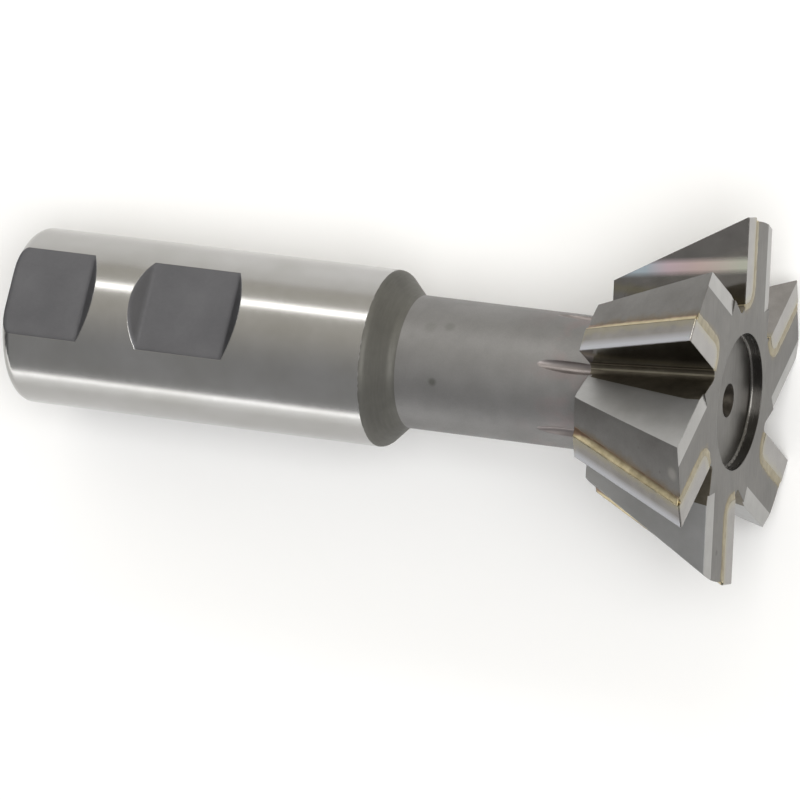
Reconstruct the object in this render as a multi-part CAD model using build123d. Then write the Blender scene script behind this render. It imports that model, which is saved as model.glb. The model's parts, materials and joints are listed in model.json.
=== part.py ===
"""Brazed-tip dovetail cutter: a 60 degree shank-type end mill for dovetail slides.

One steel body carries six carbide tips, each held in its seat by a layer of brazing alloy.
The cutter is drawn in its own axis frame: +X points out of the cutting end, the plane
X = 0 holds the six cutting points, and a tooth's own frame has Y outwards along its rake
face and Z across the tooth, towards the gullet that it cuts into. At the end the cutter is
laid on its side, as it comes to rest on a bench. Lengths are in millimetres.
"""
import math
import os

from build123d import *

# Shank and neck
overall_length = 94.8
shank_length = 49.0
shank_diameter = 22.225
shank_end_radius = 1.4
shoulder_edge_radius = 1.0
neck_diameter = 16.7
neck_fillet = 1.5

# Set-screw flats: one closed, one run out over the end of the shank
flat_depth = 1.62
flat_length = 11.56
flat_from_shoulder = 18.8
flat_spacing = 19.75
flat_end_angle = 45.0
flat_direction = 150.0

# Head
head_diameter = 46.4
head_width = 17.15
dovetail_angle = 60.0
tooth_count = 6
first_tooth_angle = 90.0
steel_step_back = 0.9
steel_front_step = 0.1

# Gullets, milled with an angle cutter along a root that dips towards the shank
gullet_root_radius = 10.4
gullet_angle = 50.0
gullet_back_angle = 61.0
gullet_crease_reach = 5.9
gullet_fillet = 0.8
gullet_dip = 11.6
gullet_run = 15.2
milling_cutter_radius = 20.0
run_out_arc = 60.0

# End clearance of the teeth
front_relief = 1.2
bevel_width = 1.2
bevel_relief = 6.0
bevel_inner_radius = 9.8

# Carbide tips and the brazing alloy behind them
tip_thickness = 3.0
tip_point_radius = 0.15
tip_seat_corner = 1.8
tip_above_gullet_fillet = 0.1
flank_relief = 8.0
braze_thickness = 0.3
braze_stand = 0.15
braze_front_stand = 0.03

# Recess in the front face and the centre holes
recess_diameter = 17.0
recess_depth = 1.6
recess_fillet = 0.35
centre_angle = 60.0
centre_diameter = 4.2
centre_pilot_diameter = 1.9
centre_pilot_depth = 2.6
rear_centre_diameter = 6.0

# The side of the head that lies down, as an angle about the axis, and the number of
# rounds in which the sizes that depend on each other settle
lying_direction = 350.0
settling_rounds = 6

# Cuts are carried this far past the surfaces that they open
overcut = 5.0
half_space_size = 3 * head_diameter

shank_radius = shank_diameter / 2
neck_radius = neck_diameter / 2
head_radius = head_diameter / 2
steel_head_radius = head_radius - steel_step_back
flank_slope = 1 / math.tan(math.radians(dovetail_angle))
shoulder_x = shank_length - overall_length
tooth_pitch = 360 / tooth_count
tooth_angles = [first_tooth_angle + tooth_pitch * i for i in range(tooth_count)]
dip = math.radians(gullet_dip)
bevel_slope = math.tan(math.radians(bevel_relief))

# The gullet's side walls touch its root fillet this far out from the sharp corner
fillet_reach = gullet_fillet / math.tan(math.radians(gullet_angle / 2))
root_height = fillet_reach - gullet_fillet

# Thickness of a tooth at its cutting end, where the next gullet's side wall passes
tooth_thickness = gullet_root_radius * math.sin(math.radians(tooth_pitch))


def turn(shape, angle):
    """The shape of one tooth's frame, turned to a tooth at this angle about the axis."""
    return Rot(angle, 0, 0) * shape


def cone_radius(radius_at_front, x):
    """Radius at x of a dovetail cone that has this radius in the plane of the points."""
    return radius_at_front + x * flank_slope


def revolved(points):
    """A turned solid from its half profile of (x, radius) points."""
    outline = Polyline([(x, r, 0) for x, r in points], close=True)
    return revolve(make_face(outline), axis=Axis.X)


def edges_on_circle(shape, x, radius):
    """The circular edges of a turned shape at this place and radius."""
    circles = shape.edges().filter_by(GeomType.CIRCLE)
    return circles.filter_by(
        lambda e: abs(e.arc_center.X - x) < 1e-3 and abs(e.radius - radius) < 1e-3
    )


def turned_blank():
    """Shank, conical shoulder, neck and dovetail cone as they leave the lathe."""
    rear_x = -overall_length
    neck_start_x = shoulder_x + (shank_radius - neck_radius)
    blank = revolved([
        (rear_x, 0),
        (rear_x, shank_radius),
        (shoulder_x, shank_radius),
        (neck_start_x, neck_radius),
        (-head_width, neck_radius),
        (-head_width, cone_radius(steel_head_radius, -head_width)),
        (-steel_front_step, cone_radius(steel_head_radius, -steel_front_step)),
        (-steel_front_step, 0),
    ])
    blank = fillet(edges_on_circle(blank, rear_x, shank_radius), shank_end_radius)
    blank = fillet(edges_on_circle(blank, shoulder_x, shank_radius), shoulder_edge_radius)
    return fillet(edges_on_circle(blank, neck_start_x, neck_radius), neck_fillet)


def centre_hole(mouth_x, diameter, into):
    """A centre-drilled hole with its mouth at mouth_x; into is +1 or -1 along the axis."""
    cone_depth = (diameter - centre_pilot_diameter) / 2 / math.tan(math.radians(centre_angle / 2))
    pilot_end = cone_depth + centre_pilot_depth
    return revolved([
        (mouth_x, 0),
        (mouth_x, diameter / 2),
        (mouth_x + into * cone_depth, centre_pilot_diameter / 2),
        (mouth_x + into * pilot_end, centre_pilot_diameter / 2),
        (mouth_x + into * (pilot_end + centre_pilot_diameter / 4), 0),
    ])


def front_recess():
    """The round recess that gives the end-grinding wheel its run-out."""
    radius = recess_diameter / 2
    recess = revolved([
        (-recess_depth, 0),
        (-recess_depth, radius),
        (overcut, radius),
        (overcut, 0),
    ])
    return fillet(edges_on_circle(recess, -recess_depth, radius), recess_fillet)


def shank_flat(middle_x):
    """The cut of one set-screw flat, with its end walls sloped to the flat."""
    floor = shank_radius - flat_depth
    rise = flat_depth + overcut
    splay = rise / math.tan(math.radians(flat_end_angle))
    half = flat_length / 2
    outline = Polyline([
        (middle_x - half, floor, 0),
        (middle_x - half - splay, floor + rise, 0),
        (middle_x + half + splay, floor + rise, 0),
        (middle_x + half, floor, 0),
    ], close=True)
    cut = extrude(make_face(outline), amount=shank_diameter, both=True)
    return turn(cut, flat_direction)


def gullet_section(height):
    """The angle cutter's tooth: a flat side, a rounded corner and two side facets."""
    wall = math.radians(gullet_angle)
    back = math.radians(gullet_back_angle)
    crease = Vector(gullet_crease_reach * math.cos(wall), gullet_crease_reach * math.sin(wall))
    reach = (height - crease.X) / math.cos(back)
    top = crease + Vector(math.cos(back), math.sin(back)) * reach
    outline = Polyline([(0, 0), (height, 0), (height, top.Y), (crease.X, crease.Y)], close=True)
    section = make_face(outline)
    corner = section.vertices().sort_by_distance((0, 0, 0))[0]
    return fillet(corner, gullet_fillet)


def gullet():
    """The straight pass of the angle cutter and the arc that it leaves where it stops."""
    outwards = (-math.sin(dip), math.cos(dip), 0)
    forwards = (math.cos(dip), math.sin(dip), 0)
    end = (-gullet_run, gullet_root_radius - gullet_run * math.tan(dip), 0)
    where = Plane(origin=end, x_dir=outwards, z_dir=forwards)
    length = gullet_run / math.cos(dip) + overcut
    straight = extrude(where * gullet_section(head_radius), amount=length)
    hub_height = root_height + milling_cutter_radius
    hub = Axis(where.from_local_coords((hub_height, 0, 0)), where.y_dir)
    lower_part = where * gullet_section(hub_height - overcut)
    run_out = revolve(lower_part, axis=hub, revolution_arc=-run_out_arc)
    return straight + run_out


def sector(from_radius):
    """The space of one tooth, from its rake plane back to the next rake plane."""
    far = head_diameter
    back = math.radians(-tooth_pitch)
    outline = Polyline([
        (0, 0, 0),
        (0, far, 0),
        (0, far * math.cos(back), far * math.sin(back)),
    ], close=True)
    space = extrude(make_face(outline), amount=head_width / 2, both=True, dir=(1, 0, 0))
    keep = Pos(0, from_radius + far, 0) * Box(head_width, 2 * far, 4 * far)
    return space & keep


def above_relief(x, z, angle):
    """Half-space in front of a clearance plane through (x, z), falling at this angle."""
    size = half_space_size
    block = Box(size, size, size, align=(Align.MIN, Align.CENTER, Align.CENTER))
    return Pos(x, 0, z) * Rot(0, angle, 0) * block


def back_bevel():
    """What is ground off the trailing edge of one tooth's steel front face."""
    bevel_z = bevel_width - tooth_thickness
    behind_edge = Pos(0, 0, bevel_z) * Box(
        head_width, 2 * head_diameter, head_diameter,
        align=(Align.CENTER, Align.CENTER, Align.MAX),
    )
    falling = above_relief(-steel_front_step, bevel_z, bevel_relief)
    return sector(bevel_inner_radius) & falling & behind_edge


def tip_floor_radius(x, clearance):
    """Distance from the axis of the tip's seat floor, which runs with the gullet root."""
    above_root = fillet_reach + tip_above_gullet_fillet - clearance
    return gullet_root_radius + x * math.tan(dip) + above_root / math.cos(dip)


def tip_blank(clearance, stand):
    """The tip's plate, grown by the clearance at its seat and by stand at its free faces."""
    front = stand
    rear = -head_width
    outline = Polyline([
        (front, tip_floor_radius(front, clearance), 0),
        (front, cone_radius(head_radius + stand, front), 0),
        (rear, cone_radius(head_radius + stand, rear), 0),
        (rear, tip_floor_radius(rear, clearance), 0),
    ], close=True)
    depth = tip_thickness + clearance
    plate = extrude(make_face(outline), amount=depth, dir=(0, 0, -1))
    seat_edge = plate.edges().filter_by(
        lambda e: abs(e.center().Z + depth) < 1e-3
        and abs(e.center().Y - tip_floor_radius((front + rear) / 2, clearance)) < 1e-3
    )
    return fillet(seat_edge, tip_seat_corner + clearance)


def behind_flank():
    """Half-space outside the clearance plane that is ground on a tip's flank."""
    size = half_space_size
    block = Box(size, size, size, align=(Align.CENTER, Align.MIN, Align.CENTER))
    along_edge = Rot(0, 0, 90 - dovetail_angle)
    return Pos(0, head_radius, 0) * along_edge * Rot(-flank_relief, 0, 0) * block


def carbide_tip():
    """One tip, ground flush with the points: rake at Z = 0, flank and end relieved."""
    tip = tip_blank(0, 0) - behind_flank() - above_relief(0, 0, front_relief)
    across = tip.edges().filter_by(lambda e: abs((e @ 1 - e @ 0).normalized().Z) > 0.5)
    return fillet(across.sort_by(Axis.Y)[-1], tip_point_radius)


def seat_cut():
    """The seat milled in the steel for a tip and its brazing alloy."""
    return tip_blank(braze_thickness, overcut)


def braze_layer():
    """The alloy between a tip and its seat, standing slightly proud of the steel."""
    reach = steel_head_radius + braze_stand
    front = braze_front_stand - steel_front_step
    envelope = revolved([
        (-head_width, 0),
        (-head_width, cone_radius(reach, -head_width)),
        (front, cone_radius(reach, front)),
        (front, 0),
    ])
    return seat_cut() & envelope - tip_blank(0, overcut)


def cutter_body():
    """The steel body: the blank with its flats, recess, gullets, seats and clearances."""
    body = turned_blank()
    closed_flat_x = shoulder_x - flat_from_shoulder - flat_length / 2
    body = body - shank_flat(closed_flat_x)
    body = body - shank_flat(closed_flat_x - flat_spacing)
    body = body - front_recess()
    body = body - centre_hole(-recess_depth, centre_diameter, -1)
    body = body - centre_hole(-overall_length, rear_centre_diameter, 1)
    one_gullet = gullet()
    one_bevel = back_bevel()
    one_seat = seat_cut()
    for angle in tooth_angles:
        body = body - turn(one_gullet, angle)
        body = body - turn(one_bevel, angle)
        body = body - turn(one_seat, angle)
    return body


def land_corner():
    """Trailing corner of a tooth's steel land at its cutting end, in the tooth's frame."""
    wall = math.radians(gullet_angle)
    back = math.radians(gullet_back_angle)
    side = Vector(math.cos(back) / math.cos(dip), math.sin(back)).normalized()
    crease_y = gullet_root_radius + gullet_crease_reach * math.cos(wall) / math.cos(dip)
    crease_z = gullet_crease_reach * math.sin(wall)
    bevel_z = bevel_width - tooth_thickness
    x = -steel_front_step
    for _ in range(settling_rounds):
        crease = Vector(crease_y + x * math.tan(dip), crease_z)
        radius = cone_radius(steel_head_radius, x)
        middle = -crease.dot(side)
        reach = middle + math.sqrt(middle ** 2 - crease.dot(crease) + radius ** 2)
        corner = (crease + side * reach).rotate(Axis.Z, -tooth_pitch)
        x = -steel_front_step - (bevel_z - corner.Y) * bevel_slope
    return Vector(x, corner.X, corner.Y)


def resting_turn():
    """How the cutter lies: on a cutting point, the next tooth's land corner and the shank.

    The turn brings the direction between those two teeth down, and then lifts the cutting
    end until the rounded end of the shank touches the same plane as the two teeth.
    """
    teeth_passed = math.floor((lying_direction - first_tooth_angle) / tooth_pitch)
    point_angle = math.radians(first_tooth_angle + teeth_passed * tooth_pitch)
    point_cut_back = tip_point_radius / math.tan(math.radians(dovetail_angle / 2))
    point_radius = head_radius - point_cut_back + tip_point_radius
    land = land_corner()
    land_radius = math.hypot(land.Y, land.Z)
    land_angle = point_angle + math.radians(tooth_pitch) + math.atan2(land.Z, land.Y)
    y_gap = point_radius * math.cos(point_angle) - land_radius * math.cos(land_angle)
    z_gap = point_radius * math.sin(point_angle) - land_radius * math.sin(land_angle)
    end_arc_reach = overall_length - shank_end_radius
    end_arc_middle = shank_radius - shank_end_radius
    lift = 0
    for _ in range(settling_rounds):
        level = -math.tan(lift) * (land.X + tip_point_radius)
        down = math.atan2(z_gap, y_gap) + math.acos(level / math.hypot(y_gap, z_gap))
        height = point_radius * math.cos(down - point_angle) + math.tan(lift) * tip_point_radius
        end_height = end_arc_middle + shank_end_radius / math.cos(lift)
        lift = math.atan((height - end_height) / end_arc_reach)
    return Rot(0, -math.degrees(lift), 0) * Rot(-90 - math.degrees(down), 0, 0)


def main():
    """Builds every piece and writes one STEP file for each."""
    os.makedirs("parts", exist_ok=True)
    tip = carbide_tip()
    braze = braze_layer()
    pieces = {"cutter_body": cutter_body()}
    for number, angle in enumerate(tooth_angles, start=1):
        pieces[f"carbide_tip_{number}"] = turn(tip, angle)
        pieces[f"braze_{number}"] = turn(braze, angle)
    lying = resting_turn()
    laid = {name: lying * piece for name, piece in pieces.items()}
    box = Compound(list(laid.values())).bounding_box()
    to_origin = Pos(-box.center().X, -box.center().Y, -box.min.Z)
    pieces = {name: to_origin * piece for name, piece in laid.items()}
    print("origin moved by", to_origin.position, "turned by", lying.orientation)
    for name, piece in pieces.items():
        print(name, round(piece.volume, 2), len(piece.solids()), piece.is_valid)
        export_step(piece, f"parts/{name}.step")


main()
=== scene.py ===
import json
import math

import bmesh
import bpy
import numpy as np
from mathutils import Matrix, Vector


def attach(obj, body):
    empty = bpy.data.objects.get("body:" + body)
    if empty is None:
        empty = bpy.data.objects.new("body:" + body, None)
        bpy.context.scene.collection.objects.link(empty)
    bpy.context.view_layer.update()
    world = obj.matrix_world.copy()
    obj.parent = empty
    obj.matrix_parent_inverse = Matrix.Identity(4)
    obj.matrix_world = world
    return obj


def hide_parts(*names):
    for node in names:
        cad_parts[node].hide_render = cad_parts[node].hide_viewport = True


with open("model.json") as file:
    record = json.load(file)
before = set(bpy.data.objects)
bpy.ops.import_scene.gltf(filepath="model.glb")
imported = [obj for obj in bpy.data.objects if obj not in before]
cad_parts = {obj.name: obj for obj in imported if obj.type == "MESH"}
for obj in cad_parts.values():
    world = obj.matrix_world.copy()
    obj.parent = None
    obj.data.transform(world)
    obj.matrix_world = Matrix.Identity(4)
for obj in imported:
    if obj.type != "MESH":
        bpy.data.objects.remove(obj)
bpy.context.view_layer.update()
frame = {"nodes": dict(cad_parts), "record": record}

mm = 0.001

# The cutter's sizes that the frame doesn't state, in millimetres and degrees. Points are
# (x, along, across) in a tooth's frame: x as in the cutter's own frame, along outwards on the
# rake plane, across from it into the gullet.
cutter = {
    "pointsToShankFront": 46.214,
    "flatDirection": 150.0,  # from +Y of the cutter's frame towards +Z, like all turns here
    "flatEnds": 45.0,
    "firstRake": 90.0,
    "teeth": 6,
    "shankRadius": 11.1125,
    "shankFront": -46.2,
    "neckRadius": 8.35,
    "headWidth": 17.15,
    "steelRadius": 22.3,  # the steel cone's and the carbide's radius, where x is 0
    "carbideRadius": 23.2,
    "flankRelief": 8.0,
    "steelFront": -0.1,
    "dovetail": 60.0,
    "rootDip": 11.6,
    "wallAngle": 50.0,  # a gullet's lower and upper facet climb from the rake plane by these
    "backAngle": 61.0,
    "backEdgeFront": (-0.59, 14.43, 4.84),  # where the wall's ground part begins, both ends
    "backEdgeRear": (-17.66, 8.08, 1.52),
    "recessRadius": 8.5,
    "recessFloor": -1.6,
    "tipThickness": 3.0,
    "brazeThickness": 0.3,
    "seatFloor": 12.25,
    "seatCorner": 2.1,
    "landWidth": 1.45,
    "streakLine": (17.2, 0.147),  # height above the axis at x = 0, and rise along x
    "streakHalfWidth": 1.2,
    "streakSteepness": 1.3,
    "landStart": 0.03,  # the land's colour begins this far behind the rake plane
    "landFront": -0.2,
    "streakDepth": 0.05,  # the streak lies within this of the first tooth's rake plane
}
toothAngles = [cutter["firstRake"] + i * 360 / cutter["teeth"] for i in range(cutter["teeth"])]


def unit(v):
    return v / np.linalg.norm(v)


# The cutter's own frame: x along its axis to the cutting end, y and z across it
mounts = {m["name"]: m for m in frame["record"]["mounts"]}
axisOut = -unit(np.array(mounts["shank"]["axis"], float))
flatOut = unit(np.array(mounts["set_screw_flat_front"]["axis"], float))
flatSide = np.cross(axisOut, flatOut)
flatTurn = math.radians(cutter["flatDirection"])
acrossY = math.cos(flatTurn) * flatOut - math.sin(flatTurn) * flatSide
acrossZ = np.cross(axisOut, acrossY)
cutterAxes = np.column_stack([axisOut, acrossY, acrossZ])
shankMiddle = np.array(mounts["shank"]["pos_m"], float)
halfShank = mounts["shank"]["dims"]["length_mm"] / 2
cutterOrigin = shankMiddle + axisOut * (halfShank + cutter["pointsToShankFront"]) * mm


# Points of the cutter's frame in mm, as row frame points in metres
def toRow(points):
    return points * mm @ cutterAxes.T + cutterOrigin


# Row frame points in metres, as points of the cutter's frame in mm
def toCutter(points):
    return (points - cutterOrigin) @ cutterAxes / mm


# An sRGB hex colour as linear red, green, blue and alpha
def linear(hexColour):
    parts = [int(hexColour[i:i + 2], 16) / 255 for i in (1, 3, 5)]
    return [p / 12.92 if p <= 0.04045 else ((p + 0.055) / 1.055) ** 2.4 for p in parts] + [1.0]


# Adds a node with its own settings, and with numbers, colours or sockets at its inputs
def addNode(tree, kind, settings=None, inputs=None):
    node = tree.nodes.new(kind)
    for name, value in (settings or {}).items():
        setattr(node, name, value)
    for name, value in (inputs or {}).items():
        if isinstance(value, bpy.types.NodeSocket):
            tree.links.new(value, node.inputs[name])
        else:
            node.inputs[name].default_value = value
    return node


# Node group: where a point is in the cutter's frame in mm. Axial, Radius and Unrolled (axial,
# arc length, radius) go round the axis. Along and Behind are the distance out along the rake
# plane of the point's own tooth and the distance back from it: the angle from the rake plane,
# taken modulo the tooth pitch, gives them as radius times its cosine and sine. Seam is the
# distance from the middle of the tip's seam, less than 0 in the carbide: with bx and by the
# distances from the centre of the seat's rounded corner, it is the length of their positive
# parts, plus the larger of them where both are negative, less the corner's radius. Land is 1
# on the flank's narrow land beside the cutting edge and falls to 0 behind it. Streak is 1 on a
# band across the first tooth's rake, within a distance of the line that streakLine gives.
def cutterCoordinates():
    group = bpy.data.node_groups.new("cutter coordinates", "ShaderNodeTree")
    for name, kind in (("Position", "NodeSocketVector"), ("Axial", "NodeSocketFloat"),
                       ("Radius", "NodeSocketFloat"), ("Seam", "NodeSocketFloat"),
                       ("Land", "NodeSocketFloat"), ("Streak", "NodeSocketFloat"),
                       ("Unrolled", "NodeSocketVector")):
        group.interface.new_socket(name, in_out="OUTPUT", socket_type=kind)
    inverse = Matrix(cutterAxes.tolist()).transposed()
    shift = -(inverse @ Vector((cutterOrigin / mm).tolist()))
    place = addNode(group, "ShaderNodeTexCoord")
    mapped = addNode(group, "ShaderNodeMapping", {"vector_type": "POINT"}, {
        "Vector": place.outputs["Object"], "Scale": (1 / mm,) * 3,
        "Rotation": inverse.to_euler("XYZ"), "Location": shift})
    parts = addNode(group, "ShaderNodeSeparateXYZ", None, {0: mapped.outputs[0]})
    flat = addNode(group, "ShaderNodeCombineXYZ", None, {1: parts.outputs[1], 2: parts.outputs[2]})
    radius = addNode(group, "ShaderNodeVectorMath", {"operation": "LENGTH"}, {0: flat.outputs[0]})
    corner = cutter["seatCorner"] - cutter["brazeThickness"] / 2
    cornerBehind = cutter["tipThickness"] + cutter["brazeThickness"] / 2 - corner
    cornerAlong = cutter["seatFloor"] - cutter["brazeThickness"] / 2 + corner
    known = {"x": parts.outputs[0], "y": parts.outputs[1], "z": parts.outputs[2],
             "radius": radius.outputs["Value"]}
    steps = (
        ("angle", "ARCTAN2", "z", "y"),
        ("before", "SUBTRACT", math.radians(cutter["firstRake"]), "angle"),
        ("folded", "FLOORED_MODULO", "before", 2 * math.pi / cutter["teeth"]),
        ("cosine", "COSINE", "folded", 0.0),
        ("sine", "SINE", "folded", 0.0),
        ("along", "MULTIPLY", "cosine", "radius"),
        ("behind", "MULTIPLY", "sine", "radius"),
        ("arc", "MULTIPLY", "angle", "radius"),
        ("bx", "SUBTRACT", "behind", cornerBehind),
        ("by", "SUBTRACT", cornerAlong, "along"),
        ("bxUp", "MAXIMUM", "bx", 0.0),
        ("byUp", "MAXIMUM", "by", 0.0),
        ("larger", "MAXIMUM", "bx", "by"),
        ("inside", "MINIMUM", "larger", 0.0),
        ("bxSquare", "MULTIPLY", "bxUp", "bxUp"),
        ("bySquare", "MULTIPLY", "byUp", "byUp"),
        ("squares", "ADD", "bxSquare", "bySquare"),
        ("outside", "SQRT", "squares", 0.0),
        ("both", "ADD", "outside", "inside"),
        ("seam", "SUBTRACT", "both", corner),
        ("offRake", "GREATER_THAN", "behind", cutter["landStart"]),
        ("landLeft", "SUBTRACT", cutter["landWidth"], "behind"),
        ("landCapped", "MINIMUM", "landLeft", 1.0),
        ("landShown", "MAXIMUM", "landCapped", 0.0),
        ("offFace", "LESS_THAN", "x", cutter["landFront"]),
        ("landSide", "MULTIPLY", "offRake", "landShown"),
        ("land", "MULTIPLY", "landSide", "offFace"),
        # The band on the first tooth's rake where the painted reflection goes
        ("fromFirst", "ABSOLUTE", "y", 0.0),
        ("onFirst", "LESS_THAN", "fromFirst", cutter["streakDepth"]),
        ("above", "GREATER_THAN", "z", 0.0),
        ("streakRise", "MULTIPLY", "x", cutter["streakLine"][1]),
        ("streakMiddle", "ADD", "streakRise", cutter["streakLine"][0]),
        ("offStreak", "SUBTRACT", "z", "streakMiddle"),
        ("streakGap", "ABSOLUTE", "offStreak", 0.0),
        ("streakLeft", "SUBTRACT", cutter["streakHalfWidth"], "streakGap"),
        ("streakSteep", "MULTIPLY", "streakLeft", cutter["streakSteepness"]),
        ("streakCapped", "MINIMUM", "streakSteep", 1.0),
        ("streakShown", "MAXIMUM", "streakCapped", 0.0),
        ("streakFirst", "MULTIPLY", "streakShown", "onFirst"),
        ("streak", "MULTIPLY", "streakFirst", "above"),
    )
    for name, operation, first, second in steps:
        node = addNode(group, "ShaderNodeMath", {"operation": operation},
                       {0: known.get(first, first), 1: known.get(second, second)})
        known[name] = node.outputs[0]
    unrolled = addNode(group, "ShaderNodeCombineXYZ", None,
                       {0: known["x"], 1: known["arc"], 2: known["radius"]})
    addNode(group, "NodeGroupOutput", None, {
        "Position": mapped.outputs[0], "Axial": known["x"], "Radius": known["radius"],
        "Seam": known["seam"], "Land": known["land"], "Streak": known["streak"],
        "Unrolled": unrolled.outputs[0]})
    return group


coordinates = cutterCoordinates()


# What all finishes share: how rough the noises of the clouds and the marks are, the part of a
# noise's range that is used, the edge's radius in mm where a finish gives none, and the share of
# a stain's radius in which it has its full strength
texture = {
    "cloudDetail": 4.0,
    "cloudRoughness": 0.6,
    "markDetail": 3.0,
    "markRoughness": 0.65,
    "low": 0.3,
    "high": 0.7,
    "edgeSamples": 4,
    "edgeMm": 0.12,
    "stainCore": 0.3,
}


# A metal surface: cloudy colour, fine marks stretched one way, and softened edges. look holds
# the clouds' two colours and size in mm, the roughness and how far the marks swing it, the
# marks' size in mm along x, y and z, their depth in micrometres and the edge's radius in mm.
def metal(name, look):
    material = bpy.data.materials.new(name)
    material.use_nodes = True
    tree = material.node_tree
    tree.nodes.clear()
    where = addNode(tree, "ShaderNodeGroup", {"node_tree": coordinates})
    clouds = addNode(tree, "ShaderNodeTexNoise", None, {
        "Vector": where.outputs["Position"], "Scale": 1 / look["cloudMm"],
        "Detail": texture["cloudDetail"], "Roughness": texture["cloudRoughness"]})
    spread = addNode(tree, "ShaderNodeMapRange", None,
                     {0: clouds.outputs[0], 1: texture["low"], 2: texture["high"]})
    colour = addNode(tree, "ShaderNodeMix", {"data_type": "RGBA"}, {
        0: spread.outputs[0], 6: linear(look["dark"]), 7: linear(look["light"])})
    stretched = addNode(tree, "ShaderNodeMapping", None, {
        "Vector": where.outputs[look.get("space", "Position")],
        "Scale": tuple(1 / size for size in look["marksMm"])})
    marks = addNode(tree, "ShaderNodeTexNoise", None, {
        "Vector": stretched.outputs[0], "Scale": 1.0,
        "Detail": texture["markDetail"], "Roughness": texture["markRoughness"]})
    rough = addNode(tree, "ShaderNodeMapRange", None, {
        0: marks.outputs[0], 1: texture["low"], 2: texture["high"],
        3: look["roughness"] - look["swing"], 4: look["roughness"] + look["swing"]})
    edge = addNode(tree, "ShaderNodeBevel", {"samples": texture["edgeSamples"]},
                   {"Radius": look.get("edgeMm", texture["edgeMm"]) * mm})
    relief = addNode(tree, "ShaderNodeBump", None, {
        "Height": marks.outputs[0], "Distance": look["depthUm"] * 1e-6, "Strength": 1.0,
        "Normal": edge.outputs[0]})
    surface = addNode(tree, "ShaderNodeBsdfPrincipled", None, {
        "Base Color": colour.outputs[2], "Metallic": look.get("metallic", 1.0),
        "Roughness": rough.outputs[0], "Normal": relief.outputs[0]})
    addNode(tree, "ShaderNodeOutputMaterial", None, {"Surface": surface.outputs[0]})
    return material, tree, where, surface


# Mixes a colour over what the surface's base colour holds so far, by a mask
def tint(tree, surface, mask, hexColour):
    under = surface.inputs["Base Color"].links[0].from_socket
    mix = addNode(tree, "ShaderNodeMix", {"data_type": "RGBA"},
                  {0: mask, 6: under, 7: linear(hexColour)})
    tree.links.new(mix.outputs[2], surface.inputs["Base Color"])


# Small stains at places given in the cutter's frame in mm, each with its radius in mm and its
# strength: full up to the share "stainCore" of the radius, and gone at the radius
def stain(tree, where, surface, stains, hexColour):
    for place, reach, strength in stains:
        gap = addNode(tree, "ShaderNodeVectorMath", {"operation": "DISTANCE"},
                      {0: where.outputs["Position"], 1: place})
        mask = addNode(tree, "ShaderNodeMapRange", {"interpolation_type": "SMOOTHSTEP"}, {
            0: gap.outputs["Value"], 1: texture["stainCore"] * reach, 2: reach,
            3: strength, 4: 0.0})
        tint(tree, surface, mask.outputs[0], hexColour)


# A mask of soft patches: it rises from 0 to "strength" where a noise, with its scale per mm,
# rises from "from" to "to"
def patchMask(tree, where, patch):
    noise = addNode(tree, "ShaderNodeTexNoise", None, {
        "Vector": where.outputs["Position"], "Scale": patch["scale"],
        "Detail": patch["detail"], "Roughness": patch["roughness"]})
    return addNode(tree, "ShaderNodeMapRange", {"interpolation_type": "SMOOTHSTEP"}, {
        0: noise.outputs[0], 1: patch["from"], 2: patch["to"], 3: 0.0, 4: patch["strength"]})


# How the heat's colours waver, with the noise's scale per mm, and how far behind the head's
# rear they still show
heatWaver = {"scale": 0.9, "detail": 3.0, "spread": 2.0, "behindHead": 0.05}


# Colours that the brazing heat leaves beside a seam: strongest at the distance "middle" from
# the seam's own middle, and gone by "reach" times "spread" times a noise further on
def heatNearSeam(tree, where, surface, heat):
    offset = addNode(tree, "ShaderNodeMath", {"operation": "SUBTRACT"},
                     {0: where.outputs["Seam"], 1: heat["middle"]})
    far = addNode(tree, "ShaderNodeMath", {"operation": "ABSOLUTE"}, {0: offset.outputs[0]})
    wander = addNode(tree, "ShaderNodeTexNoise", None, {
        "Vector": where.outputs["Position"], "Scale": heatWaver["scale"],
        "Detail": heatWaver["detail"]})
    uneven = addNode(tree, "ShaderNodeMath", {"operation": "MULTIPLY"},
                     {0: wander.outputs[0], 1: heat["reach"] * heatWaver["spread"]})
    near = addNode(tree, "ShaderNodeMapRange", {"interpolation_type": "SMOOTHSTEP"}, {
        0: far.outputs[0], 1: 0.0, 2: uneven.outputs[0], 3: heat["strength"], 4: 0.0})
    onHead = addNode(tree, "ShaderNodeMath", {"operation": "GREATER_THAN"},
                     {0: where.outputs["Axial"],
                      1: -cutter["headWidth"] - heatWaver["behindHead"]})
    mask = addNode(tree, "ShaderNodeMath", {"operation": "MULTIPLY"},
                   {0: near.outputs[0], 1: onHead.outputs[0]})
    tint(tree, surface, mask.outputs[0], heat["colour"])


# Cylindrically ground tool steel: near mirror, with hair-fine rings round the shank
def groundShankSteel():
    look = {"dark": "#a09f9c", "light": "#acabaa", "cloudMm": 9.0, "roughness": 0.2, "swing": 0.03,
            "marksMm": (0.14, 9.0, 9.0), "depthUm": 1.0, "edgeMm": 0.2}
    return metal("cylindrically ground tool steel", look)[0]


# End-milled steel: darker and duller than the ground shank, with faint cutter sweeps
def milledFlatSteel():
    look = {"dark": "#616164", "light": "#6a6a6d", "cloudMm": 6.0, "roughness": 0.48, "swing": 0.04,
            "marksMm": (0.5, 0.25, 0.5), "depthUm": 2.0, "edgeMm": 0.9}
    return metal("milled tool steel flat", look)[0]


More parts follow.
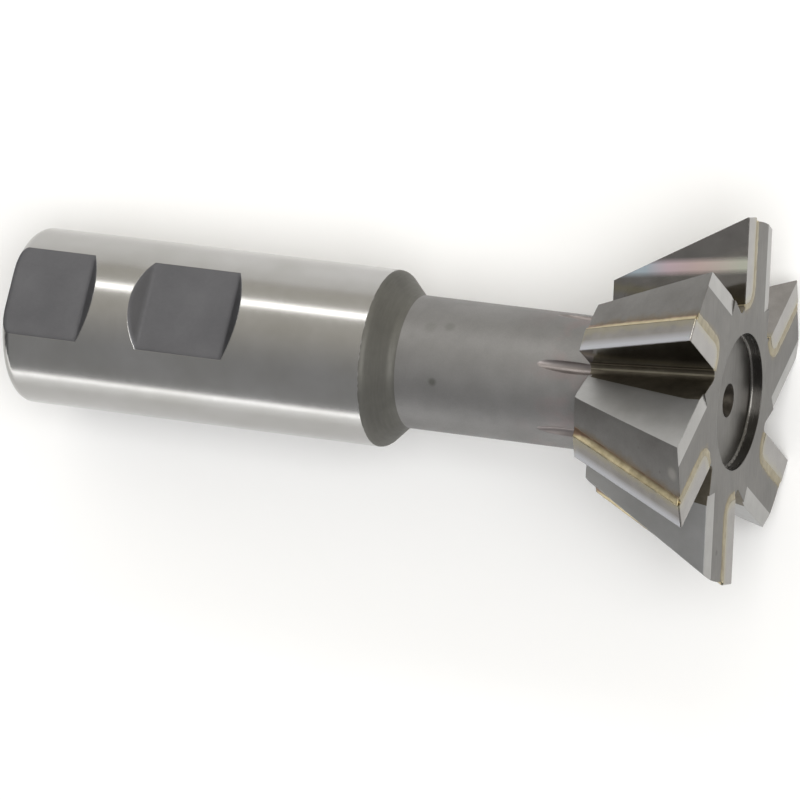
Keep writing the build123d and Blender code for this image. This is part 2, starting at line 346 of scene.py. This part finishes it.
# Bead-blasted steel: an even satin grey, broken by its fine grit and a few dark specks
def blastedSteel():
    look = {"dark": "#757371", "light": "#838280", "cloudMm": 4.0, "roughness": 0.55, "swing": 0.05,
            "marksMm": (0.18, 0.18, 0.18), "depthUm": 4.0, "edgeMm": 0.2}
    specks = {"scale": 0.45, "detail": 2.0, "roughness": 0.7, "from": 0.66, "to": 0.78,
              "strength": 0.55}
    material, tree, where, surface = metal("bead-blasted tool steel", look)
    tint(tree, surface, patchMask(tree, where, specks).outputs[0], "#4f4c47")
    stain(tree, where, surface, (((-1.18, -21.08, -4.8), 1.1, 0.6),), "#a3a19c")
    heatNearSeam(tree, where, surface, {
        "middle": 0.3, "reach": 1.4, "strength": 0.7, "colour": "#7d6d55"})
    return material


# The neck, blasted like the head's lands, with a faint reddish heat tint near the gullets
def blastedNeckSteel():
    look = {"dark": "#807f7e", "light": "#8d8c8b", "cloudMm": 6.0, "roughness": 0.55, "swing": 0.05,
            "marksMm": (0.18, 0.18, 0.18), "depthUm": 4.0, "edgeMm": 0.2}
    patches = {"scale": 0.22, "detail": 3.0, "roughness": 0.5, "from": 0.45, "to": 0.62,
               "strength": 1.0}
    heated = {"from": -29.0, "to": -18.0, "strength": 0.2}
    material, tree, where, surface = metal("bead-blasted neck steel", look)
    towardsHead = addNode(tree, "ShaderNodeMapRange", {"interpolation_type": "SMOOTHSTEP"}, {
        0: where.outputs["Axial"], 1: heated["from"], 2: heated["to"],
        3: 0.0, 4: heated["strength"]})
    mask = addNode(tree, "ShaderNodeMath", {"operation": "MULTIPLY"},
                   {0: patchMask(tree, where, patches).outputs[0], 1: towardsHead.outputs[0]})
    tint(tree, surface, mask.outputs[0], "#a08080")
    smudges = (((-38.75, -5.83, 5.98), 1.1, 0.2), ((-36.34, -5.57, 6.22), 0.9, 0.3),
               ((-37.36, -8.34, -0.32), 0.7, 0.7))
    stain(tree, where, surface, smudges, "#5f605a")
    return material


# Where a gullet's pass runs out on the neck the steel is left bare and shiny from the cutter
def milledRunOutSteel():
    look = {"dark": "#857f7e", "light": "#958e8c", "cloudMm": 3.0, "roughness": 0.4, "swing": 0.05,
            "marksMm": (2.0, 0.3, 0.3), "depthUm": 1.5, "edgeMm": 0.2}
    return metal("milled run-out steel", look)[0]


# The shoulder's turned cone: a warmer and darker grey than the neck beside it
def turnedShoulderSteel():
    look = {"dark": "#676662", "light": "#73726d", "cloudMm": 6.0, "roughness": 0.62, "swing": 0.05,
            "marksMm": (0.3, 3.0, 0.3), "depthUm": 2.0, "space": "Unrolled", "edgeMm": 0.5}
    return metal("turned shoulder steel", look)[0]


# Gullet roots keep the dark scale and flux stain of the brazing heat
def gulletScale():
    look = {"dark": "#5d584d", "light": "#777165", "cloudMm": 3.0, "roughness": 0.5, "swing": 0.08,
            "marksMm": (2.0, 0.3, 0.3), "depthUm": 4.0}
    return metal("heat-scaled gullet steel", look)[0]


# The upper part of each gullet's wall is ground after brazing: clean, grey and fairly bright
def groundBackSteel():
    look = {"dark": "#adadac", "light": "#bababa", "cloudMm": 4.0, "roughness": 0.48, "swing": 0.04,
            "marksMm": (3.0, 0.2, 0.2), "depthUm": 0.8, "edgeMm": 0.2}
    return metal("ground tooth back steel", look)[0]


# Painted highlight: the middle of the fillet at the bottom of each gullet, lighter along its length
def rootFilletHighlight():
    look = {"dark": "#8c8676", "light": "#a09a8a", "cloudMm": 2.0, "roughness": 0.45, "swing": 0.05,
            "marksMm": (2.0, 0.2, 0.2), "depthUm": 2.0}
    return metal("gullet fillet steel with painted highlight", look)[0]


# Surface-ground front face: straight fine scratches and a soft, slightly warm grey shine
def groundFaceSteel():
    look = {"dark": "#595754", "light": "#676561", "cloudMm": 5.0, "roughness": 0.36, "swing": 0.06,
            "marksMm": (3.0, 0.12, 4.0), "depthUm": 1.4, "edgeMm": 0.15}
    material, tree, where, surface = metal("ground front face steel", look)
    heatNearSeam(tree, where, surface, {
        "middle": 0.35, "reach": 1.1, "strength": 0.75, "colour": "#766a50"})
    stain(tree, where, surface, (((-0.1, -6.04, -17.78), 0.5, 0.9),), "#3f3c37")
    return material


# The ground bevel behind each front face is coloured the lightest grey of the steel
def groundBevelSteel():
    look = {"dark": "#949391", "light": "#a09f9d", "cloudMm": 4.0, "roughness": 0.34, "swing": 0.04,
            "marksMm": (3.0, 0.1, 3.0), "depthUm": 1.0}
    return metal("ground bevel steel", look)[0]


# Turned recess: smooth, dark by what it mirrors
def turnedRecessSteel():
    look = {"dark": "#5b5956", "light": "#6a6865", "cloudMm": 4.0, "roughness": 0.24, "swing": 0.05,
            "marksMm": (0.1, 5.0, 0.12), "depthUm": 2.0, "space": "Unrolled"}
    return metal("turned recess steel", look)[0]


# The centre hole, left as drilled, is coloured dark, nearly black
def drilledCentreSteel():
    look = {"dark": "#2f2c28", "light": "#45413b", "cloudMm": 1.0, "roughness": 0.5, "swing": 0.05,
            "marksMm": (0.2, 1.0, 0.2), "depthUm": 3.0, "space": "Unrolled"}
    return metal("drilled centre hole steel", look)[0]


# Cemented carbide: very fine, slightly warm grey, ground to a shine with a diamond wheel, and
# ground finer still, so paler and bluish, on the narrow land beside the cutting edge. A pale
# band across the first tooth's rake, in faint pink, blue and olive tints and less metallic, is a
# painted reflection.
def groundCarbide():
    look = {"dark": "#7d7a77", "light": "#8b8885", "cloudMm": 3.0, "roughness": 0.14, "swing": 0.03,
            "marksMm": (2.5, 2.5, 0.07), "depthUm": 0.5, "edgeMm": 0.18}
    streak = {"from": -16.0, "to": 0.0, "metallic": 0.35, "colours": (
        (0.18, "#a9b6bf"), (0.36, "#cdb8c0"), (0.62, "#cfbab6"), (0.95, "#b2b4a7"))}
    material, tree, where, surface = metal("ground cemented carbide", look)
    tint(tree, surface, where.outputs["Land"], "#abacb1")
    heatNearSeam(tree, where, surface, {
        "middle": -0.3, "reach": 1.1, "strength": 0.6, "colour": "#8f8972"})
    # The painted reflection: tints that change along x, mixed in where Streak is 1, less metallic
    # there
    shift = addNode(tree, "ShaderNodeMapRange", None,
                    {0: where.outputs["Axial"], 1: streak["from"], 2: streak["to"]})
    reflectionTints = addNode(tree, "ShaderNodeValToRGB", None, {0: shift.outputs[0]})
    elements = reflectionTints.color_ramp.elements
    first, *between, last = streak["colours"]
    for element, (position, hexColour) in ((elements[0], first), (elements[1], last)):
        element.position, element.color = position, linear(hexColour)
    for position, hexColour in between:
        elements.new(position).color = linear(hexColour)
    under = surface.inputs["Base Color"].links[0].from_socket
    streaked = addNode(tree, "ShaderNodeMix", {"data_type": "RGBA"}, {
        0: where.outputs["Streak"], 6: under, 7: reflectionTints.outputs[0]})
    tree.links.new(streaked.outputs[2], surface.inputs["Base Color"])
    reflectionMetallic = addNode(tree, "ShaderNodeMapRange", None,
                   {0: where.outputs["Streak"], 3: 1.0, 4: streak["metallic"]})
    tree.links.new(reflectionMetallic.outputs[0], surface.inputs["Metallic"])
    return material


# Silver brazing alloy: cream beside the carbide and reddish brown where it thins out over the
# steel, wavy where it froze
def brazingAlloy():
    look = {"dark": "#b9ac8c", "light": "#d6caa9", "cloudMm": 1.0, "roughness": 0.45, "swing": 0.06,
            "marksMm": (0.6, 0.6, 0.6), "depthUm": 5.0, "edgeMm": 0.05}
    thinning = {"from": 0.2, "to": 0.6}
    material, tree, where, surface = metal("silver brazing alloy", look)
    thin = addNode(tree, "ShaderNodeMapRange", {"interpolation_type": "SMOOTHSTEP"}, {
        0: where.outputs["Seam"], 1: thinning["from"], 2: thinning["to"]})
    tint(tree, surface, thin.outputs[0], "#85705f")
    return material


# The alloy on the front face was ground flush with the steel: a dull olive line, hardly brighter
def groundAlloy():
    look = {"dark": "#857d68", "light": "#a0977f", "cloudMm": 1.5, "roughness": 0.42, "swing": 0.06,
            "marksMm": (3.0, 0.3, 3.0), "depthUm": 2.0, "edgeMm": 0.05}
    return metal("ground silver brazing alloy", look)[0]


bodyFinishes = {
    "shank": groundShankSteel(), "flat": milledFlatSteel(), "shoulder": turnedShoulderSteel(),
    "neck": blastedNeckSteel(), "runOut": milledRunOutSteel(), "blasted": blastedSteel(),
    "gullet": gulletScale(), "root": rootFilletHighlight(),
    "back": groundBackSteel(), "face": groundFaceSteel(), "bevel": groundBevelSteel(),
    "recess": turnedRecessSteel(), "centre": drilledCentreSteel(),
}
print("materials made")

# Limits for the body's mesh and normals: an angle in degrees, places in mm, a cosine, and two
# distances in metres within which points are merged or count as lying in a cutting plane
smoothing = {
    "angle": 24.0,
    "onSurface": 0.012,
    "margin": 0.01,
    "sameWay": 0.985,
    "merge": 1e-6,
    "inPlane": 1e-7,
    "backNormalFront": (-0.238, 0.868, -0.436),
    "backNormalRear": (-0.147, 0.738, -0.658),
}

# Limits that tell the body's finishes apart: places in mm, or cosines between a face's normal
# and a direction
zones = {
    "margin": 0.02,
    "hair": 0.001,
    "neckEnd": -46.0,
    "runOutEnd": -27.0,
    "runOutDepth": 0.03,  # a run-out lies at least this deep under the neck's surface
    "shoulder": (-47.5, -40.0),
    "shoulderTilt": 0.02,
    "flatDistance": 8.0,
    "onFlat": 0.9999,
    "slopeMargin": 0.002,
    "behindRake": 0.001,  # an angle in radians
    "sameFacet": 0.9995,
    "nearFacet": 0.98,
    "rootLine": 0.993,
    "endFace": 0.95,
    "stepDepth": -0.26,
    "stepWay": 0.9,
    "stepRadius": 20.0,
    "faceDepth": -1.3,
    "face": 0.98,
    "bevel": 0.998,
    "recess": (-8.0, -0.12),
    "recessMargin": 0.01,
    "recessFloor": 0.999,
    "centreRadius": 3.0,
}


# Normal of a gullet facet that climbs at this angle from the rake plane, in the tooth's frame.
# Both facets run along a root that dips towards the shank.
def facetNormal(climb):
    climb, dip = math.radians(climb), math.radians(cutter["rootDip"])
    across = math.sin(climb)
    return np.array([-across * math.sin(dip), across * math.cos(dip), -math.cos(climb)])


# The plane across a gullet's lower facet in which its ground part begins: a point of it, and
# its normal, which is square to the facet and to the line between the ground part's two ends
def backEdgePlane():
    front, rear = np.array(cutter["backEdgeFront"]), np.array(cutter["backEdgeRear"])
    return front, unit(np.cross(front - rear, facetNormal(cutter["wallAngle"])))


# Points or directions (x, along, across), turned about the axis by these angles in radians
def turned(points, angles):
    c, s = np.cos(angles), np.sin(angles)
    y, z = points[..., 1], points[..., 2]
    return np.stack([points[..., 0], c * y - s * z, s * y + c * z], -1)


# The turn of the tooth that each point's gullet belongs to, in radians from +Y. A point counts
# to its tooth from a hair behind the rake plane on, so that the rake itself does too.
def gulletTurn(points):
    angle = np.arctan2(points[:, 2], points[:, 1])
    pitch, hair = 2 * math.pi / cutter["teeth"], zones["behindRake"]
    return angle + hair - np.mod(angle + hair - math.radians(cutter["firstRake"]), pitch)


# Which finish each face of the body has, as its number in bodyFinishes, by the place of the
# face's middle and the way it points, both in the cutter's frame. Later rules overrule earlier
# ones. In the gullets, a plane through the ground part's edge parts scale from ground steel.
def finishOf(centres, normals):
    number = {name: i for i, name in enumerate(bodyFinishes)}
    axial, tilt = centres[:, 0], normals[:, 0]
    radius = np.hypot(centres[:, 1], centres[:, 2])
    headRear = -cutter["headWidth"] - zones["margin"]
    finish = np.full(len(axial), number["blasted"])
    finish[axial < headRear] = number["neck"]
    onRunOut = (axial < -cutter["headWidth"]) & (axial > zones["runOutEnd"])
    onRunOut &= radius < cutter["neckRadius"] - zones["runOutDepth"]
    finish[onRunOut] = number["runOut"]
    onShank = axial < cutter["shankFront"]
    finish[onShank] = number["shank"]
    rear, front = zones["shoulder"]
    finish[(axial > rear) & (axial < front) & (tilt > zones["shoulderTilt"])] = number["shoulder"]
    flatNormal = np.array([0, math.cos(flatTurn), math.sin(flatTurn)])
    towardsFlat, slope = normals @ flatNormal, math.radians(cutter["flatEnds"])
    sloped = np.abs(towardsFlat - math.cos(slope)) < zones["slopeMargin"]
    sloped &= np.abs(np.abs(tilt) - math.sin(slope)) < zones["slopeMargin"]
    cut = onShank & (centres @ flatNormal > zones["flatDistance"])
    finish[cut & ((towardsFlat > zones["onFlat"]) | sloped)] = number["flat"]
    turn = gulletTurn(centres)
    place, way = turned(centres, -turn), turned(normals, -turn)
    onHead = (axial > headRear) & (axial < cutter["steelFront"] - zones["hair"])
    lower, upper = facetNormal(cutter["wallAngle"]), facetNormal(cutter["backAngle"])
    towardsWall = np.maximum(way @ lower, way @ upper)
    edgePoint, edgeNormal = backEdgePlane()
    beyond = (place - edgePoint) @ edgeNormal > 0
    rake = onHead & (way[:, 2] > zones["sameFacet"])
    inGullet = onHead & ~beyond & (np.abs(tilt) < zones["endFace"])
    finish[rake | inGullet] = number["gullet"]
    # Gullet faces that face the fillet's middle take the root finish, which is a painted highlight
    middle = unit(lower + np.array([0, 0, 1]))
    finish[inGullet & (way @ middle > zones["rootLine"])] = number["root"]
    finish[onHead & beyond & (towardsWall > zones["nearFacet"]) & ~rake] = number["back"]
    step = onHead & ~rake & (axial > zones["stepDepth"]) & (towardsWall < zones["stepWay"])
    finish[step & (radius < zones["stepRadius"])] = number["face"]
    onFace = (axial > zones["faceDepth"]) & (tilt > zones["face"])
    onFace &= radius > cutter["recessRadius"]
    finish[onFace] = number["face"]
    finish[onFace & (tilt < zones["bevel"])] = number["bevel"]
    deep, shallow = zones["recess"]
    inRecess = (radius < cutter["recessRadius"] + zones["recessMargin"])
    inRecess &= (axial > deep) & (axial < shallow)
    finish[inRecess] = number["recess"]
    finish[inRecess & (tilt > zones["recessFloor"])] = number["face"]
    inCentre = inRecess & (axial < cutter["recessFloor"] - zones["margin"])
    finish[inCentre & (radius < zones["centreRadius"])] = number["centre"]
    return finish


# Normal at each corner: the mean of the faces about its vertex that lie within the smoothing
# angle of the corner's own face, weighted by area, so that a flat face stays flat
def cornerNormals(vertexOf, owner, faceNormals, areas):
    order = np.argsort(vertexOf, kind="stable")
    counts = np.bincount(vertexOf)
    starts = np.concatenate([[0], np.cumsum(counts)[:-1]])
    reps = counts[vertexOf[order]]
    first = np.repeat(np.arange(len(order)), reps)
    step = np.arange(reps.sum()) - np.repeat(np.cumsum(reps) - reps, reps)
    second = starts[vertexOf[order[first]]] + step
    faceA, faceB = owner[order[first]], owner[order[second]]
    dots = np.einsum("ij,ij->i", faceNormals[faceA], faceNormals[faceB])
    weight = np.where(dots > math.cos(math.radians(smoothing["angle"])), areas[faceB], 0)
    summed = np.stack([np.bincount(first, weight * faceNormals[faceB, k]) for k in range(3)], 1)
    normals = np.empty_like(summed)
    normals[order] = summed / np.linalg.norm(summed, axis=1)[:, None]
    return normals


# Exact normals where a corner lies on the ground shank, the neck or the dovetail cone: the
# radial direction, tilted by the cone's half angle on the head
def turnedNormals(places, faceNormals, normals):
    radius = np.hypot(places[:, 1], places[:, 2])
    axial = places[:, 0]
    outward = places / np.maximum(radius, 1e-9)[:, None]
    outward[:, 0] = 0
    slope = math.radians(cutter["dovetail"])
    land = cutter["steelRadius"] + axial / math.tan(slope)
    onNeck = (axial < -cutter["headWidth"] + smoothing["margin"]) & (axial > zones["neckEnd"])
    rules = (
        (axial < cutter["shankFront"], cutter["shankRadius"], 0.0),
        (onNeck, cutter["neckRadius"], 0.0),
        (axial > -cutter["headWidth"] - smoothing["margin"], land, -math.cos(slope)),
    )
    for region, wantedRadius, tilt in rules:
        wanted = outward * math.sqrt(1 - tilt ** 2)
        wanted[:, 0] = tilt
        fits = region & (np.abs(radius - wantedRadius) < smoothing["onSurface"])
        fits &= np.einsum("ij,ij->i", wanted, faceNormals) > smoothing["sameWay"]
        normals[fits] = wanted[fits]
    return normals


# Normals of the ground part of each gullet's wall, which twists: they pass from the rear one
# to the front one in step with x
def backNormals(places, turns, chosen, normals):
    front, rear = np.array(smoothing["backNormalFront"]), np.array(smoothing["backNormalRear"])
    share = np.clip((places[chosen, 0] + cutter["headWidth"]) / cutter["headWidth"], 0, 1)[:, None]
    twisted = turned(rear + (front - rear) * share, turns[chosen])
    normals[chosen] = twisted / np.linalg.norm(twisted, axis=1)[:, None]
    return normals


# Cuts the lower facet of each gullet where its ground part begins
def cutBackEdges(work):
    edgePoint, edgeNormal = backEdgePlane()
    for degrees in toothAngles:
        angle = math.radians(degrees)
        facet = Vector(cutterAxes @ turned(facetNormal(cutter["wallAngle"]), angle))
        faces = [face for face in work.faces if face.normal.dot(facet) > zones["sameFacet"]]
        around = {part for face in faces for part in (*face.edges, *face.verts)}
        bmesh.ops.bisect_plane(
            work, geom=faces + list(around), dist=smoothing["inPlane"],
            plane_co=toRow(turned(edgePoint, angle)).tolist(),
            plane_no=(cutterAxes @ turned(edgeNormal, angle)).tolist())


# A copy of the steel body with its loose triangles merged, smooth normals and its finishes
def dressBody():
    mesh = frame["nodes"]["cutter_body"].data.copy()
    mesh.name = "steel_body"
    work = bmesh.new()
    work.from_mesh(mesh)
    bmesh.ops.remove_doubles(work, verts=work.verts, dist=smoothing["merge"])
    work.normal_update()
    cutBackEdges(work)
    work.to_mesh(mesh)
    work.free()
    mesh.materials.clear()
    for material in bodyFinishes.values():
        mesh.materials.append(material)
    faces, corners = len(mesh.polygons), len(mesh.loops)
    centres, faceNormals, areas = np.empty(faces * 3), np.empty(faces * 3), np.empty(faces)
    mesh.polygons.foreach_get("center", centres)
    mesh.polygons.foreach_get("normal", faceNormals)
    mesh.polygons.foreach_get("area", areas)
    sizes, vertexOf = np.empty(faces, np.int32), np.empty(corners, np.int32)
    mesh.polygons.foreach_get("loop_total", sizes)
    mesh.loops.foreach_get("vertex_index", vertexOf)
    places = np.empty(len(mesh.vertices) * 3)
    mesh.vertices.foreach_get("co", places)
    centres = toCutter(centres.reshape(-1, 3))
    places = toCutter(places.reshape(-1, 3))[vertexOf]
    faceNormals = faceNormals.reshape(-1, 3) @ cutterAxes
    owner = np.repeat(np.arange(faces), sizes)
    finish = finishOf(centres, faceNormals)
    mesh.polygons.foreach_set("material_index", finish.astype(np.int32))
    normals = cornerNormals(vertexOf, owner, faceNormals, areas)
    normals = turnedNormals(places, faceNormals[owner], normals)
    onBack = (finish == list(bodyFinishes).index("back"))[owner]
    normals = backNormals(places, gulletTurn(centres)[owner], onBack, normals)
    mesh.shade_smooth()
    mesh.normals_split_custom_set((normals @ cutterAxes.T).tolist())
    body = bpy.data.objects.new("steel_body", mesh)
    bpy.context.scene.collection.objects.link(body)
    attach(body, "root")
    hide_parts("cutter_body")


# A closed tube through grid[along, round], as a mesh with capped ends and outward faces
def tubeObject(name, grid, material):
    steps, around = grid.shape[:2]
    index = np.arange(steps * around).reshape(steps, around)
    beside = np.roll(index, -1, axis=1)
    quads = np.stack([index[:-1], beside[:-1], beside[1:], index[1:]], axis=-1).reshape(-1, 4)
    faces = quads.tolist() + [index[0, ::-1].tolist(), index[-1].tolist()]
    mesh = bpy.data.meshes.new(name)
    mesh.from_pydata(toRow(grid.reshape(-1, 3)).tolist(), [], faces)
    work = bmesh.new()
    work.from_mesh(mesh)
    bmesh.ops.recalc_face_normals(work, faces=work.faces)
    work.to_mesh(mesh)
    work.free()
    mesh.materials.append(material)
    mesh.shade_smooth()
    made = bpy.data.objects.new(name, mesh)
    bpy.context.scene.collection.objects.link(made)
    return made


# The seams' sizes in mm, and as shares of the tip's wall or of themselves
seam = {
    "steps": 160,
    "columns": 9,
    "flankWidth": 0.75,
    "flankHeight": 0.97,
    "heightCalm": 0.3,  # this power of the wavering line makes the height waver less
    "hollow": 1.5,
    "frontGap": 0.26,  # keeps the bead's end inside the box of the solids
    "rearGap": 0.05,
    "overlap": 0.03,
    "faceWidth": 1.6,
    "faceHeight": 0.05,
    "topGap": 0.1,
    "rakeGap": 0.15,
    "waver": 0.256,
    "waverFall": 0.5,
    "widthPeriods": (2.3, 5.1, 11.0, 19.0),
    "heightPeriods": (1.7, 6.3, 13.0),
    "facePeriods": (1.9, 4.3, 9.0, 15.0),
    "sink": 0.12,
    "seed": 7,
}


# A smooth random line about 1: sines with random phases, each divided by 1 plus its number
# times "waverFall", and the mean of them times "waver"
def wavering(rng, count, periods):
    t = np.linspace(0, 1, count)
    waves = [np.sin(2 * math.pi * (p * t + rng.random())) / (1 + i * seam["waverFall"])
             for i, p in enumerate(periods)]
    return 1 + seam["waver"] * sum(waves) / len(waves)


# Alloy in the corner between the tip's back and the steel land, from rear to front. Its
# section is a hollow fillet: the height is the share of the width that is left to the bead's
# foot on the steel, to the power "hollow". At the tip it is "flankHeight" of the wall there,
# which is how far the relieved flank's back edge stands above the land. Width and height waver.
def flankBead(rng):
    n, columns = seam["steps"], seam["columns"]
    rear, front = -cutter["headWidth"] + seam["rearGap"], cutter["steelFront"] - seam["frontGap"]
    x = np.linspace(rear, front, n)
    width = seam["flankWidth"] * wavering(rng, n, seam["widthPeriods"])
    calm = wavering(rng, n, seam["heightPeriods"]) ** seam["heightCalm"]
    share = np.minimum(seam["flankHeight"] * calm, 1)
    across = np.linspace(0, 1, columns)
    land = cutter["steelRadius"] + x / math.tan(math.radians(cutter["dovetail"]))
    behind = cutter["tipThickness"] - seam["overlap"] + width[:, None] * across[None]
    base = np.sqrt(land[:, None] ** 2 - behind ** 2)
    drop = cutter["tipThickness"] * math.tan(math.radians(cutter["flankRelief"]))
    wall = land + cutter["carbideRadius"] - cutter["steelRadius"] - drop - base[:, 0]
    top = (share * wall)[:, None] * (1 - across[None]) ** seam["hollow"]
    station = np.repeat(x[:, None], columns, 1)
    upper = np.stack([station, base + top, -behind], -1)
    lower = np.stack([station, base - seam["sink"], -behind], -1)[:, ::-1]
    return np.concatenate([upper, lower], 1)


# Alloy line on the front face: down the tip's back, round its seat corner and to the rake.
# The section is a low bow: one minus the square of the distance across.
def faceBead(rng):
    n = seam["steps"]
    corner = cutter["seatCorner"] - cutter["brazeThickness"] / 2
    back = cutter["tipThickness"] + cutter["brazeThickness"] / 2
    floor = cutter["seatFloor"] - cutter["brazeThickness"] / 2
    top = math.sqrt(cutter["steelRadius"] ** 2 - back ** 2) - seam["topGap"]
    runs = np.array([top - floor - corner, corner * math.pi / 2, back - corner - seam["rakeGap"]])
    t = np.linspace(0, runs.sum(), n)
    straight = np.minimum(t, runs[0])
    bend = np.clip(t - runs[0], 0, runs[1]) / corner
    last = np.maximum(t - runs[0] - runs[1], 0)
    along = top - straight - corner * np.sin(bend)
    behind = back - corner * (1 - np.cos(bend)) - last
    width = seam["faceWidth"] * wavering(rng, n, seam["facePeriods"])
    u = np.linspace(-1, 1, seam["columns"])
    offset = width[:, None] / 2 * u[None]
    height = cutter["steelFront"] + seam["faceHeight"] * (1 - u[None] ** 2) * np.ones((n, 1))
    alongLine = along[:, None] - np.sin(bend)[:, None] * offset
    acrossLine = -(behind[:, None] + np.cos(bend)[:, None] * offset)
    upper = np.stack([height, alongLine, acrossLine], -1)
    lower = upper[:, ::-1].copy()
    lower[..., 0] = cutter["steelFront"] - seam["sink"]
    return np.concatenate([upper, lower], 1)


# Carbide on each tip, alloy on each layer, and two alloy beads along each seam
def dressTips(carbide, alloy, ground):
    rng = np.random.default_rng(seam["seed"])
    for number, turn in enumerate(toothAngles, start=1):
        for node, material in ((f"carbide_tip_{number}", carbide), (f"braze_{number}", alloy)):
            piece = frame["nodes"][node]
            piece.data.materials.clear()
            piece.data.materials.append(material)
        beads = (("flank_seam", flankBead(rng), alloy), ("face_seam", faceBead(rng), ground))
        for name, grid, material in beads:
            bead = tubeObject(f"{name}_{number}", turned(grid, math.radians(turn)), material)
            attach(bead, "root")


dressBody()
print("body dressed")
dressTips(groundCarbide(), brazingAlloy(), groundAlloy())
print("tips and seams dressed")

room = {
    "floorSize": 3.0,
    "floorColour": "#ffffff",
    "floorRoughness": 0.3,
    "skyAhead": 0.78,
    "skyOver": 0.45,
    "skyRear": 0.3,
    "skyWarm": "#fffbf1",
    "skyPlain": "#ffffff",
    "sideRange": (-0.45, 0.7),  # the sky changes while its direction's y, or x, is in a range
    "warmRange": (-0.45, 0.35),
    "rearRange": (-0.85, -0.42),
    "lightsAim": (0, 0, 0.02),
}

# Softboxes by the direction they stand in from the cutter, their distance, their width and
# height in metres, and their brightness in watts per square metre
softboxes = {
    "stripOverShank": {
        "towards": (-0.42, 0.756, 0.502), "distance": 0.9, "size": (1.4, 0.088), "bright": 17.5},
    "lowSidePanel": {
        "towards": (-0.3, -0.95, 0.065), "distance": 0.7, "size": (1.4, 0.08), "bright": 9.5},
    "highPanel": {
        "towards": (0.3, 0.0, 0.95), "distance": 1.4, "size": (0.9, 0.9), "bright": 14.0},
}


# A plain pale floor under the cutter
def makeFloor():
    half = room["floorSize"] / 2
    corners = [(-half, -half, 0), (half, -half, 0), (half, half, 0), (-half, half, 0)]
    mesh = bpy.data.meshes.new("floor")
    mesh.from_pydata(corners, [], [(0, 1, 2, 3)])
    material = bpy.data.materials.new("plain satin white paper")
    material.use_nodes = True
    surface = material.node_tree.nodes["Principled BSDF"]
    surface.inputs["Base Color"].default_value = linear(room["floorColour"])
    surface.inputs["Roughness"].default_value = room["floorRoughness"]
    mesh.materials.append(material)
    floor = bpy.data.objects.new("floor", mesh)
    bpy.context.scene.collection.objects.link(floor)


# Soft grey surroundings, lighter and slightly warmer towards +Y than towards -Y, and falling
# to the share "skyRear" towards -X
def makeSky():
    world = bpy.data.worlds.new("studio")
    bpy.context.scene.world = world
    world.use_nodes = True
    tree = world.node_tree
    tree.nodes.clear()
    way = addNode(tree, "ShaderNodeTexCoord")
    parts = addNode(tree, "ShaderNodeSeparateXYZ", None, {0: way.outputs["Generated"]})
    darkSide, brightSide = room["sideRange"]
    plain, warmest = room["warmRange"]
    darkest, fading = room["rearRange"]
    side = addNode(tree, "ShaderNodeMapRange", {"interpolation_type": "SMOOTHSTEP"}, {
        0: parts.outputs[1], 1: darkSide, 2: brightSide, 3: room["skyOver"], 4: room["skyAhead"]})
    warm = addNode(tree, "ShaderNodeMapRange", None, {0: parts.outputs[1], 1: plain, 2: warmest})
    colour = addNode(tree, "ShaderNodeMix", {"data_type": "RGBA"}, {
        0: warm.outputs[0], 6: linear(room["skyPlain"]), 7: linear(room["skyWarm"])})
    rear = addNode(tree, "ShaderNodeMapRange", {"interpolation_type": "SMOOTHSTEP"}, {
        0: parts.outputs[0], 1: darkest, 2: fading, 3: room["skyRear"], 4: 1.0})
    both = addNode(tree, "ShaderNodeMath", {"operation": "MULTIPLY"},
                   {0: side.outputs[0], 1: rear.outputs[0]})
    back = addNode(tree, "ShaderNodeBackground", None,
                   {"Color": colour.outputs[2], "Strength": both.outputs[0]})
    addNode(tree, "ShaderNodeOutputWorld", None, {"Surface": back.outputs[0]})


# Area lights that face the cutter. A light's width runs along x, less the part of x that lies
# in the light's own direction, and its height is square to both.
def makeSoftboxes():
    target = Vector(room["lightsAim"])
    for name, box in softboxes.items():
        light = bpy.data.lights.new(name, "AREA")
        light.shape = "RECTANGLE"
        light.size, light.size_y = box["size"]
        light.energy = box["bright"] * box["size"][0] * box["size"][1]
        lamp = bpy.data.objects.new(name, light)
        bpy.context.scene.collection.objects.link(lamp)
        back = Vector(box["towards"]).normalized()
        alongX = Vector((1, 0, 0))
        right = (alongX - back * alongX.dot(back)).normalized()
        turn = Matrix((right, back.cross(right), back)).transposed()
        place = target + back * box["distance"]
        lamp.matrix_world = Matrix.Translation(place) @ turn.to_4x4()


# The photograph's view of the cutter, in the cutter's own frame in mm
view = {
    "place": (278.28, -835.64, 201.45),
    "right": (0.928793, 0.368572, 0.038713),
    "down": (0.118014, -0.195127, -0.973652),
    "lens": 331.4,
    "nearest": 0.05,
    "farthest": 20.0,
}


# The camera looks along the cross product of its right and down directions
def makeCamera():
    data = bpy.data.cameras.new("camera")
    data.lens = view["lens"]
    data.clip_start, data.clip_end = view["nearest"], view["farthest"]
    camera = bpy.data.objects.new("camera", data)
    bpy.context.scene.collection.objects.link(camera)
    right, down = np.array(view["right"]), np.array(view["down"])
    away = np.cross(right, down)
    axes = cutterAxes @ np.column_stack([right, -down, -away])
    place = toRow(np.array([view["place"]]))[0]
    camera.matrix_world = Matrix.Translation(place.tolist()) @ Matrix(axes.tolist()).to_4x4()
    bpy.context.scene.camera = camera


makeFloor()
makeSky()
makeSoftboxes()
makeCamera()
bpy.context.scene.view_settings.view_transform = "Standard"
print("room, light and camera made")
